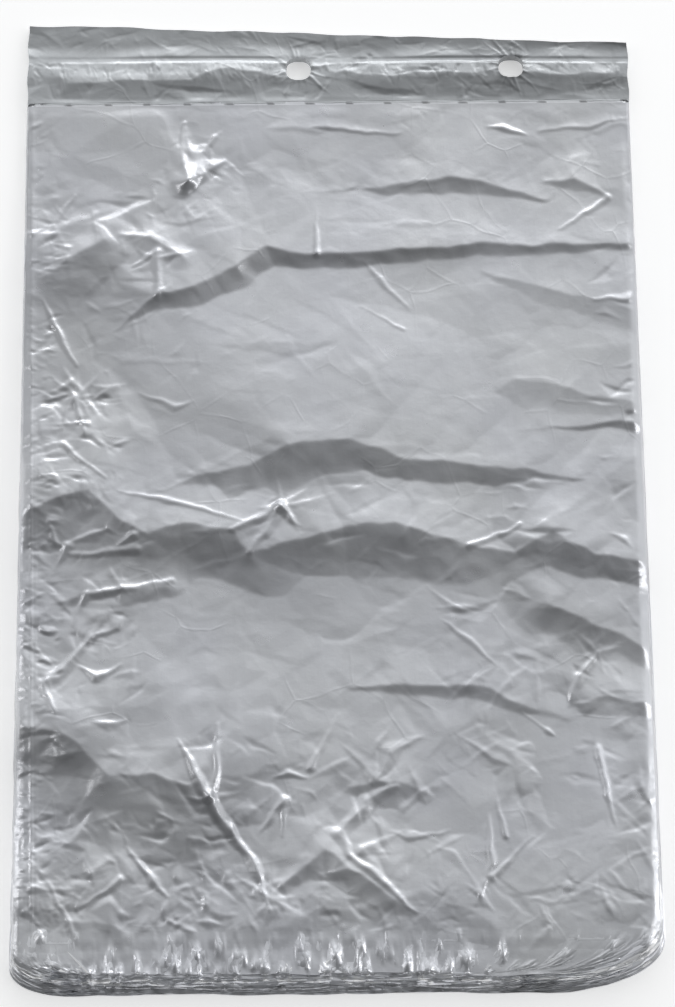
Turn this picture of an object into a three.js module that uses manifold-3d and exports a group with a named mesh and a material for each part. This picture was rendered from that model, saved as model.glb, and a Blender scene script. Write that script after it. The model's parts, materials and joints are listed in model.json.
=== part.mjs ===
// A pad of fifty clear tear-off plastic bags, bound together by one heat-blocked header.
//
// Millimetres. The pad lies on its back: +Z is up, out of the front bag; +Y runs towards the
// header's top edge; +X is to the right. The origin is midway between the two hanging holes, on
// the pad's rear face.
//
// Every bag is a flat film tube that hangs from the header by a perforated line. Bag 1 is the
// front one, which is torn off next, and bag 50 is the rearmost. Film is thinner than a tenth of
// a millimetre, so a bag's solid is the film with the air that is trapped in it: hardly any at
// the neck and at the welded hem, and more in between, above all in the loose front bags.

import * as THREE from "three";
import { mergeVertices } from "three/addons/utils/BufferGeometryUtils.js";
import Module from "manifold-3d";

// ---- Driving dimensions ----
const BAG_COUNT = 50;
const PAD_WIDTH = 305;
const BAG_LENGTH = 457; // the front bag, from the perforation to its bottom edge

const HEADER_LENGTH = 38; // top edge to perforation
const HEADER_THICKNESS = 5;
const HOLE_DIAMETER = 12.7;
const HOLE_SPACING = 108;
const HOLE_FROM_TOP = 17.5;
const HOLES_RIGHT_OF_CENTRE = 39; // how far the hole pair's middle is from the pad's centre line

const WELD_FROM_TOP = 12.6; // the line where all the header films are fused
const WELD_WIDTH = 2.4;
const WELD_DEPTH = 0.4;

const FLEX_GAP = 4; // free film that bends between the stiff header block and the bags
const FILM_CLEARANCE = 0.03; // air between one bag and the next

// The front bag's tear line: a strip of film that is cut through, but for short ties.
const TEAR_STRIP_WIDTH = 0.9;
const TEAR_STRIP_BELOW_BLOCK = 2.1; // from the header block to the strip's header edge
const CUT_PITCH = 20;
const TIE_LENGTH = 3;
const CUT_WIDTH = 0.4;

const HEM_THICKNESS = 7; // the whole pile along its welded bottom edge
const REAR_BAG_LOFT = 0.25; // height that a bag takes up in the middle of the pile
const FRONT_BAG_LOFT = 2.4; // what looseness adds to the front bag
const NECK_RAMP = 70; // length over which the pile rises from the header to its full height
const HEM_RAMP = 26; // length over which it falls again to the hem

const REAR_BAG_OVERHANG = 7; // how much further down the rearmost bag reaches than the front one
const LEFT_CORNER = { run: 26, rise: 13 }; // the hem's rounded ends, along it and up from it
const RIGHT_CORNER = { run: 55, rise: 25 };
const HEM_LEFT = { front: 1, rear: 0 }; // where the hem's ends lie against the header's ends
const HEM_RIGHT = { front: 1.5, rear: 3.5 };

// ---- Derived dimensions ----
const LEFT = -PAD_WIDTH / 2 - HOLES_RIGHT_OF_CENTRE;
const RIGHT = PAD_WIDTH / 2 - HOLES_RIGHT_OF_CENTRE;
const TOP = HOLE_FROM_TOP;
const PERFORATION = TOP - HEADER_LENGTH;
const NECK_PITCH = HEADER_THICKNESS / BAG_COUNT;
const HEM_PITCH = HEM_THICKNESS / BAG_COUNT;

// ---- Resolution ----
const HOLE_SEGMENTS = 24;
const CORNER_SEGMENTS = 4;
const RAMP_STEPS = 4;

const clearFilm = new THREE.MeshStandardMaterial({
  name: "bag_film",
  color: 0xb4babd,
  roughness: 0.25,
  metalness: 0.3,
});
const headerFilm = new THREE.MeshStandardMaterial({
  name: "header_film",
  color: 0x9a9fa3,
  roughness: 0.25,
  metalness: 0.3,
});

const wasm = await Module();
wasm.setup();

// ---- Solids ----

// A closed three.js geometry as a manifold-3d solid.
function solidOf(geometry) {
  const bare = geometry.clone();
  bare.deleteAttribute("normal");
  bare.deleteAttribute("uv");
  const merged = mergeVertices(bare);
  return new wasm.Manifold(
    new wasm.Mesh({
      numProp: 3,
      vertProperties: merged.attributes.position.array,
      triVerts: new Uint32Array(merged.index.array),
    }),
  );
}

// A manifold-3d solid as a three.js geometry with flat faces.
function geometryOf(solid) {
  const { vertProperties, triVerts } = solid.getMesh();
  const indexed = new THREE.BufferGeometry();
  indexed.setAttribute("position", new THREE.BufferAttribute(vertProperties, 3));
  indexed.setIndex(new THREE.BufferAttribute(triVerts, 1));
  const geometry = indexed.toNonIndexed();
  geometry.computeVertexNormals();
  return geometry;
}

// An outline in the XY plane, raised from the floor to a height.
function raised(outline, height) {
  return new THREE.ExtrudeGeometry(outline, {
    depth: height,
    bevelEnabled: false,
    curveSegments: CORNER_SEGMENTS,
  });
}

// A side view, drawn with Y across and Z up, swept along X from one end to the other.
function sweptAcross(sideView, from, to) {
  const geometry = new THREE.ExtrudeGeometry(sideView, { depth: to - from, bevelEnabled: false });
  const yAxis = new THREE.Vector3(0, 1, 0);
  const zAxis = new THREE.Vector3(0, 0, 1);
  const xAxis = new THREE.Vector3(1, 0, 0);
  geometry.applyMatrix4(new THREE.Matrix4().makeBasis(yAxis, zAxis, xAxis));
  return geometry.translate(from, 0, 0);
}

// A box between two corners.
function boxBetween([x0, y0, z0], [x1, y1, z1]) {
  const box = new THREE.BoxGeometry(x1 - x0, y1 - y0, z1 - z0);
  return solidOf(box.translate((x0 + x1) / 2, (y0 + y1) / 2, (z0 + z1) / 2));
}

// ---- Header ----

function hangingHole(x) {
  const drill = new THREE.CylinderGeometry(
    HOLE_DIAMETER / 2,
    HOLE_DIAMETER / 2,
    4 * HEADER_THICKNESS,
    HOLE_SEGMENTS,
  );
  return solidOf(drill.rotateX(Math.PI / 2).translate(x, 0, 0));
}

// The fused header strips of all the bags, with the two punched holes and the weld's groove.
function headerGeometry() {
  const block = boxBetween([LEFT, PERFORATION + FLEX_GAP, 0], [RIGHT, TOP, HEADER_THICKNESS]);
  const weld = TOP - WELD_FROM_TOP;
  const groove = boxBetween(
    [LEFT - 1, weld - WELD_WIDTH / 2, HEADER_THICKNESS - WELD_DEPTH],
    [RIGHT + 1, weld + WELD_WIDTH / 2, HEADER_THICKNESS + 1],
  );
  const punched = block.subtract(hangingHole(-HOLE_SPACING / 2)).subtract(hangingHole(HOLE_SPACING / 2));
  return geometryOf(punched.subtract(groove));
}

// The perforated film that holds the front bag, and stays on the header when the bag is torn off.
function tearStripGeometry() {
  const top = PERFORATION + FLEX_GAP - TEAR_STRIP_BELOW_BLOCK;
  const middle = top - TEAR_STRIP_WIDTH / 2;
  let strip = boxBetween(
    [LEFT, top - TEAR_STRIP_WIDTH, HEADER_THICKNESS - NECK_PITCH],
    [RIGHT, top, HEADER_THICKNESS - FILM_CLEARANCE],
  );
  const cuts = Math.floor(PAD_WIDTH / CUT_PITCH);
  const firstCut = (LEFT + RIGHT - cuts * CUT_PITCH + TIE_LENGTH) / 2;
  for (let i = 0; i < cuts; i++) {
    const left = firstCut + i * CUT_PITCH;
    const right = left + CUT_PITCH - TIE_LENGTH;
    const cut = boxBetween(
      [left, middle - CUT_WIDTH / 2, 0],
      [right, middle + CUT_WIDTH / 2, HEADER_THICKNESS],
    );
    strip = strip.subtract(cut);
  }
  return geometryOf(strip);
}

// ---- Bags ----

const smooth = (t) => t * t * (3 - 2 * t);
const mix = (a, b, t) => a + (b - a) * t;

function loft(bag) {
  return REAR_BAG_LOFT + FRONT_BAG_LOFT / bag ** 2;
}

// The pile's height in its middle, counting from the rearmost bag up to the given one.
function pileHeight(bag) {
  let height = 0;
  for (let k = BAG_COUNT; k >= bag; k--) height += loft(k);
  return height;
}

// How the face on top of a bag, or on top of the bags behind it, runs down the pad: its height
// at stations measured from the neck.
function faceStations(bag, length) {
  const layers = BAG_COUNT + 1 - bag;
  const neck = layers * NECK_PITCH;
  const hem = layers * HEM_PITCH;
  const middle = pileHeight(bag);
  const stations = [];
  for (let i = 0; i <= RAMP_STEPS; i++) {
    const t = i / RAMP_STEPS;
    stations.push([t * NECK_RAMP, mix(neck, middle, smooth(t))]);
  }
  for (let i = 0; i <= RAMP_STEPS; i++) {
    const t = i / RAMP_STEPS;
    stations.push([BAG_LENGTH - HEM_RAMP * (1 - t), mix(middle, hem, smooth(t))]);
  }
  if (length > BAG_LENGTH) stations.push([length, hem]);
  return stations;
}

// A bag's outline, in a frame whose Y is 0 at the neck. The pile spreads a little towards the
// hem, so a bag further back lies wider and reaches further down.
function bagOutline(depthShare, length) {
  const hemLeft = LEFT + mix(HEM_LEFT.front, HEM_LEFT.rear, depthShare);
  const hemRight = RIGHT + mix(HEM_RIGHT.front, HEM_RIGHT.rear, depthShare);
  const outline = new THREE.Shape();
  outline.moveTo(LEFT, 0);
  outline.lineTo(hemLeft, LEFT_CORNER.rise - length);
  outline.quadraticCurveTo(hemLeft, -length, hemLeft + LEFT_CORNER.run, -length);
  outline.lineTo(hemRight - RIGHT_CORNER.run, -length);
  outline.quadraticCurveTo(hemRight, -length, hemRight, RIGHT_CORNER.rise - length);
  outline.lineTo(RIGHT, 0);
  outline.closePath();
  return outline;
}

function bagGeometry(bag) {
  const depthShare = (bag - 1) / (BAG_COUNT - 1);
  const length = BAG_LENGTH + REAR_BAG_OVERHANG * depthShare;
  const front = faceStations(bag, length).map(([along, z]) => [along, z - FILM_CLEARANCE]);
  const rear = faceStations(bag + 1, length).reverse();

  const sideView = new THREE.Shape();
  [...front, ...rear].forEach(([along, z], i) => {
    if (i === 0) sideView.moveTo(-along, z);
    else sideView.lineTo(-along, z);
  });
  sideView.closePath();

  const slab = solidOf(sweptAcross(sideView, LEFT - PAD_WIDTH / 2, RIGHT + PAD_WIDTH / 2));
  const plan = solidOf(raised(bagOutline(depthShare, length), 2 * pileHeight(1)));
  return geometryOf(slab.intersect(plan));
}

// ---- Assembly ----

function named(name, geometry, material) {
  const mesh = new THREE.Mesh(geometry, material);
  mesh.name = name;
  return mesh;
}

const pad = new THREE.Group();
pad.name = "bag_pad";
pad.add(named("header_block", headerGeometry(), headerFilm));
pad.add(named("front_tear_strip", tearStripGeometry(), headerFilm));

// The pile of bags hangs from the perforation.
const pile = new THREE.Group();
pile.position.y = PERFORATION;
for (let bag = 1; bag <= BAG_COUNT; bag++) {
  pile.add(named(`bag_${String(bag).padStart(2, "0")}`, bagGeometry(bag), clearFilm));
}
pad.add(pile);

export default pad;
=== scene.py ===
"""A pad of clear plastic bags on a welded header: the looks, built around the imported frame.

Lengths are millimetres until a mesh is written, in the frame's axes: +X right, +Y towards the
header's top edge, +Z out of the front bag.

The pile is laid up from the table: a height map of the pile's top starts at zero, and each bag,
from the rearmost to the front one, is a thin film envelope between the map under it and the map
above it. The front four bags have wrinkles of their own.
"""

import json
import math

import bpy
import numpy as np
from mathutils import Matrix, Vector


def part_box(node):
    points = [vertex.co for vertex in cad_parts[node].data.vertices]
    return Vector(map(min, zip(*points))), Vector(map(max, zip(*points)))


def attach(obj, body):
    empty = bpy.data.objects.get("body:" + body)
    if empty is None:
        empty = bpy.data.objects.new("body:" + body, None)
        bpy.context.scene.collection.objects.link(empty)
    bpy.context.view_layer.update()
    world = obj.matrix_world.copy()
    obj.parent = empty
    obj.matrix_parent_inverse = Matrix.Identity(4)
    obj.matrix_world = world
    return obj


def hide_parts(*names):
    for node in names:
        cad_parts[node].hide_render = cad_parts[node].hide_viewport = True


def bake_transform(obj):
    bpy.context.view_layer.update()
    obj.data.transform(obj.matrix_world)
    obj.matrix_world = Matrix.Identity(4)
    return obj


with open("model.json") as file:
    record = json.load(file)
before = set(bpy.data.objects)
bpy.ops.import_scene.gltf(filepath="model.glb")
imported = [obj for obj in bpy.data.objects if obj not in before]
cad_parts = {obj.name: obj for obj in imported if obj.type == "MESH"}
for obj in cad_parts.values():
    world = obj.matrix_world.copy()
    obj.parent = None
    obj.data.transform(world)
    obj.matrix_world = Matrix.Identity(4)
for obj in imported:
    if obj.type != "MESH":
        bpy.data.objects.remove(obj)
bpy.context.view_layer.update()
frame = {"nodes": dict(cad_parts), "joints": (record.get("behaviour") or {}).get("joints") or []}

MM = 0.001
RASTER = 0.5  # spacing of the height maps' cells
TOUCH = 0.02  # air left between two films that lie on each other
TINY = 1e-6  # keeps a division from meeting zero


def box_mm(node):
    low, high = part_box(node)
    return [c / MM for c in low], [c / MM for c in high]


BAG_NAMES = sorted(n for n in frame["nodes"] if n.startswith("bag_"))
BAG_COUNT = len(BAG_NAMES)
OWN_WRINKLES = 4  # bags, from the front, with wrinkles of their own
HINGE_Y = frame["joints"][0]["pos_m"][1] / MM
(LEFT, _, _), (RIGHT, TOP, HEADER_Z) = box_mm("header_block")
(_, FRONT_HEM, _), (_, NECK, PILE_Z) = box_mm("bag_01")
(REAR_LEFT, REAR_HEM, _), (REAR_RIGHT, _, _) = box_mm(BAG_NAMES[-1])
(_, STRIP_FOOT, STRIP_LOW), (_, _, STRIP_HIGH) = box_mm("front_tear_strip")
WIDTH = RIGHT - LEFT
LENGTH = NECK - FRONT_HEM
HOLE_RADIUS = 6.35
HOLE_X = 54.0
rng = np.random.default_rng(7)


# ---- Height maps ----

X0, X1 = REAR_LEFT - 6, REAR_RIGHT + 6
Y0, Y1 = REAR_HEM - 6, TOP + 12
COLS = int((X1 - X0) / RASTER) + 1
ROWS = int((Y1 - Y0) / RASTER) + 1
GX = X0 + RASTER * np.arange(COLS)[None, :]
GY = Y0 + RASTER * np.arange(ROWS)[:, None]


def smooth(t):
    """Runs softly from 0 to 1 as t does, and stays level outside."""
    t = np.clip(t, 0, 1)
    return t * t * (3 - 2 * t)


def blurred(height, sigma_y, sigma_x=None):
    """Gaussian blur of a map, with its widths in mm."""
    for axis, sigma in ((0, sigma_y), (1, sigma_y if sigma_x is None else sigma_x)):
        cells = sigma / RASTER
        reach = max(1, int(3 * cells))
        kernel = np.exp(-0.5 * (np.arange(-reach, reach + 1) / cells) ** 2)
        kernel /= kernel.sum()
        padding = [(0, 0), (0, 0)]
        padding[axis] = (reach, reach)
        padded = np.pad(height, padding, mode="edge")
        size = height.shape[axis]
        parts = (
            w * (padded[i : i + size] if axis == 0 else padded[:, i : i + size])
            for i, w in enumerate(kernel)
        )
        height = sum(parts)
    return height


def noise(random, sigma_y, sigma_x=None):
    """A soft random map with a spread of 1."""
    field = blurred(random.standard_normal((ROWS, COLS)), sigma_y, sigma_x)
    return field / field.std()


def sample(height, x, y):
    """A map's value at points, between its cells."""
    c = np.clip((x - X0) / RASTER, 0, COLS - 1.001)
    r = np.clip((y - Y0) / RASTER, 0, ROWS - 1.001)
    ci, ri = c.astype(int), r.astype(int)
    fc, fr = c - ci, r - ri
    low = height[ri, ci] * (1 - fc) + height[ri, ci + 1] * fc
    high = height[ri + 1, ci] * (1 - fc) + height[ri + 1, ci + 1] * fc
    return low * (1 - fr) + high * fr


def window(xs, ys, reach=0.0):
    """The map's rows and columns that cover some points and what lies within reach of them."""
    first_col, last_col = (min(xs) - reach - X0) / RASTER, (max(xs) + reach - X0) / RASTER
    first_row, last_row = (min(ys) - reach - Y0) / RASTER, (max(ys) + reach - Y0) / RASTER
    rows = slice(max(0, int(first_row)), max(0, int(last_row) + 2))
    cols = slice(max(0, int(first_col)), max(0, int(last_col) + 2))
    return rows, cols


def warped(height, random, size, shift):
    """A map with its lines bent: each point is read from up to about shift mm away."""
    dx, dy = shift * noise(random, size), shift * noise(random, size)
    return sample(height, GX + dx, GY + dy)


def crease(height, nodes, up_slope, down_slope, join=np.maximum, ease=(1.0, 1.0)):
    """Adds a folded crest to a map: two flanks fall from a polyline of (x, y, crest height).

    up_slope is the slope of the flank on the +Y side, down_slope that on the -Y side, each at the
    crest. A flank is flat for an ease of 1 and levels out towards its foot for a higher one. A
    crest with negative heights is a valley."""
    points = np.array(nodes, float)
    sign = -1 if points[:, 2].min() < 0 else 1
    points[:, 2] = np.abs(points[:, 2])
    reach = points[:, 2].max() * max(ease[0] / up_slope, ease[1] / down_slope)
    rows, cols = window(points[:, 0], points[:, 1], reach)
    rise = np.zeros(height[rows, cols].shape)
    if rise.size == 0:
        return
    for a, b in zip(points, points[1:]):
        if b[0] < a[0]:
            a, b = b, a
        px, py = GX[:, cols] - a[0], GY[rows] - a[1]
        dx, dy, dh = b - a
        length = math.hypot(dx, dy)
        t = np.clip((px * dx + py * dy) / length**2, 0, 1)
        away = np.maximum(np.hypot(px - t * dx, py - t * dy), TINY)
        up = smooth((1 + (py * dx - px * dy) / (length * away)) / 2)
        slope = down_slope + (up_slope - down_slope) * up
        power = ease[1] + (ease[0] - ease[1]) * up
        crest = np.maximum(a[2] + dh * t, TINY)
        rise = np.maximum(rise, crest * np.clip(1 - away * slope / power / crest, 0, 1) ** power)
    if join is np.maximum:
        height[rows, cols] = np.maximum(height[rows, cols], rise)
    else:
        height[rows, cols] += sign * rise


def on_bag(across, down, height=0.0):
    """A crest point from shares of the front bag's width and length."""
    return LEFT + across * WIDTH, NECK - down * LENGTH, height


def scatter(height, random, count, box, size, angle, steepness):
    """Adds random small creases. box is (across, down, across, down); the rest are ranges."""
    a0, d0, a1, d1 = box
    for _ in range(count):
        x, y, _ = on_bag(random.uniform(a0, a1), random.uniform(d0, d1))
        length = random.uniform(*size)
        turn = math.radians(random.uniform(*angle))
        slope = random.uniform(*steepness)
        gentle = slope * random.uniform(0.15, 0.6)
        crest = gentle * length * random.uniform(0.08, 0.22) * random.choice((-1, 1))
        ux, uy = math.cos(turn) * length / 2, math.sin(turn) * length / 2
        peak = random.uniform(-0.6, 0.6)
        bend = random.uniform(-0.25, 0.25)
        middle = (x + peak * ux - bend * uy, y + peak * uy + bend * ux, crest)
        nodes = [(x - ux, y - uy, 0), middle, (x + ux, y + uy, 0)]
        flanks = (slope, gentle) if random.random() < 0.5 else (gentle, slope)
        crease(height, nodes, *flanks, join=np.add)


FACET_JITTER = 0.38  # how far a facet's corner strays, as a share of the spacing


def crumpled(random, spacing, spread):
    """A map of flat triangular facets between random heights, about spacing mm apart."""
    xs = np.arange(X0 - spacing, X1 + 2 * spacing, spacing)
    ys = np.arange(Y0 - spacing, Y1 + 2 * spacing, spacing)
    shape = (len(ys), len(xs))
    px = xs[None, :] + random.uniform(-FACET_JITTER, FACET_JITTER, shape) * spacing
    py = ys[:, None] + random.uniform(-FACET_JITTER, FACET_JITTER, shape) * spacing
    knots = np.stack([px, py, random.uniform(-spread, spread, shape)], -1)
    height = np.zeros((ROWS, COLS))
    for i in range(len(ys) - 1):
        for j in range(len(xs) - 1):
            a, b, c, d = knots[i, j], knots[i, j + 1], knots[i + 1, j + 1], knots[i + 1, j]
            halves = ((a, b, c), (a, c, d)) if random.random() < 0.5 else ((a, b, d), (b, c, d))
            for triangle in halves:
                fill_triangle(height, *triangle)
    return height


def fill_triangle(height, a, b, c):
    """Writes the plane through three points into a map, inside their triangle."""
    rows, cols = window((a[0], b[0], c[0]), (a[1], b[1], c[1]))
    x, y = GX[:, cols] - a[0], GY[rows] - a[1]
    if x.size == 0 or y.size == 0:
        return
    ux, uy, uh = b - a
    vx, vy, vh = c - a
    area = ux * vy - uy * vx
    s = (x * vy - y * vx) / area
    t = (y * ux - x * uy) / area
    inside = (s >= 0) & (t >= 0) & (s + t <= 1)
    height[rows, cols] = np.where(inside, a[2] + s * uh + t * vh, height[rows, cols])


def strength(places, base):
    """A map of how strongly something shows: base, and more or less around the places."""
    total = np.full((ROWS, COLS), float(base))
    for place_x, place_y, reach_x, reach_y, amount in places:
        x, y, _ = on_bag(place_x, place_y)
        off = ((GX - x) / (reach_x * WIDTH)) ** 2 + ((GY - y) / (reach_y * LENGTH)) ** 2
        total += amount * np.exp(-off)
    return total


def star(height, random, centre, rays, reach, crest, slope):
    """Creases that radiate from a point of the front bag."""
    x, y, _ = on_bag(*centre)
    rise = np.zeros(height.shape)
    for k in range(rays):
        turn = 2 * math.pi * (k + random.uniform(-0.35, 0.35)) / rays
        length = reach * random.uniform(0.5, 1.0)
        end = (x + length * math.cos(turn), y + length * math.sin(turn), 0)
        crease(rise, [(x, y, crest), end], slope, slope * random.uniform(0.4, 0.8))
    height += rise


# ---- The front bag's wrinkles ----

# Each fold is a crest, as points of (across, down, height in mm), with the slopes of its two
# flanks. The flank that faces the hem lies in shade, the other one catches the light.
# The broad folds. Of the tall ones the highest wins at each place; lower ones ride on them.
RIDING_HEIGHT = 3.2
BROAD_FOLDS = [
    # thin lines under the neck
    ([(0.4, 0.035, 0.3), (0.45, 0.03, 0.9), (0.62, 0.035, 0.3)], 0.2, 0.45),
    ([(0.85, 0.035, 0.3), (1.0, 0.025, 0.8)], 0.2, 0.45),
    ([(0.11, 0.12, 0.6), (0.17, 0.115, 1.2), (0.26, 0.115, 1.0)], 0.08, 0.35),
    ([(0.31, 0.115, 0.7), (0.45, 0.115, 1.5), (0.54, 0.105, 0.9)], 0.08, 0.35),
    ([(0.54, 0.11, 0.5), (0.62, 0.1, 2.2), (0.7, 0.095, 2.8), (0.86, 0.12, 0.5)], 0.1, 0.32),
    ([(0.86, 0.1, 0.4), (0.91, 0.095, 1.5), (0.96, 0.115, 0.6)], 0.14, 0.3),
    # the long fold under the neck, from its low left end to the right edge
    ([(0.15, 0.28, 0.6), (0.22, 0.24, 3.6), (0.28, 0.225, 4.6), (0.35, 0.2, 5.0),
      (0.4, 0.18, 4.4), (0.46, 0.19, 3.6), (0.78, 0.18, 2.0), (1.0, 0.18, 0.9)], 0.1, 0.4),
    # the left shoulder
    ([(0.02, 0.215, 1.0), (0.07, 0.19, 3.4), (0.13, 0.17, 3.8), (0.16, 0.175, 2.0)], 0.2, 0.15),
    ([(0.16, 0.16, 0.4), (0.21, 0.16, 2.2), (0.26, 0.19, 1.4)], 0.3, 0.24),
    # soft swellings between the long fold and the arch
    ([(0.75, 0.21, 0.4), (0.87, 0.235, 1.2), (1.0, 0.26, 1.4)], 0.06, 0.14),
    ([(0.19, 0.33, 0.4), (0.26, 0.315, 1.6), (0.33, 0.32, 1.0)], 0.07, 0.12),
    ([(0.73, 0.36, 0.3), (0.8, 0.34, 1.5), (1.0, 0.37, 0.8)], 0.07, 0.12),
    ([(0.54, 0.405, 0.5), (0.6, 0.405, 1.9), (0.74, 0.405, 2.3), (1.0, 0.39, 1.8)], 0.08, 0.5),
    # the wide arch
    ([(0.22, 0.47, 0.8), (0.28, 0.45, 3.4), (0.37, 0.44, 5.4), (0.41, 0.425, 6.6),
      (0.46, 0.415, 7.4), (0.53, 0.415, 7.0), (0.62, 0.435, 6.0), (0.75, 0.445, 4.4),
      (1.0, 0.465, 1.4)], 0.1, 0.27),
    # the ridge under it, and the jagged fold below that
    ([(0.03, 0.455, 1.4), (0.24, 0.47, 2.8), (0.39, 0.49, 2.6), (0.63, 0.495, 2.4)], 0.26, 0.1),
    ([(0.0, 0.495, 4.4), (0.04, 0.485, 5.4), (0.11, 0.47, 6.0), (0.16, 0.505, 5.4),
      (0.21, 0.52, 5.0), (0.26, 0.505, 5.8), (0.34, 0.515, 5.6), (0.37, 0.54, 3.8),
      (0.46, 0.525, 4.8), (0.54, 0.51, 6.0), (0.6, 0.51, 6.0), (0.72, 0.535, 4.4),
      (0.79, 0.545, 3.6), (0.85, 0.52, 5.8), (0.92, 0.545, 4.6), (1.0, 0.55, 4.0)], 0.13, 0.28),
    # the lower half
    ([(0.05, 0.6, 1.0), (0.11, 0.585, 2.4), (0.17, 0.58, 2.6), (0.24, 0.575, 1.8)], 0.16, 0.22),
    ([(0.02, 0.7, 1.2), (0.07, 0.665, 3.0), (0.13, 0.63, 2.4), (0.17, 0.62, 1.0)], 0.24, 0.2),
    ([(0.77, 0.58, 0.6), (0.84, 0.6, 3.6), (0.91, 0.625, 3.6), (1.0, 0.65, 1.8)], 0.1, 0.26),
    ([(0.53, 0.69, 0.4), (0.6, 0.69, 1.3), (0.75, 0.695, 1.8), (0.86, 0.73, 0.4)], 0.07, 0.38),
    ([(0.88, 0.71, 0.8), (0.93, 0.705, 2.0), (1.0, 0.71, 1.4)], 0.12, 0.25),
    ([(0.0, 0.73, 4.6), (0.07, 0.74, 6.8), (0.12, 0.77, 7.4), (0.15, 0.79, 7.4),
      (0.22, 0.79, 6.6), (0.33, 0.81, 2.0)], 0.13, 0.27),
    ([(0.42, 0.905, 1.2), (0.49, 0.87, 3.0), (0.57, 0.91, 2.2), (0.62, 0.935, 0.8)], 0.14, 0.28),
    ([(0.53, 0.8, 0.8), (0.6, 0.795, 2.6), (0.66, 0.81, 0.8)], 0.1, 0.22),
]

SHARPNESS = 0.7  # share of the heights below that the sharp creases keep
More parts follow.
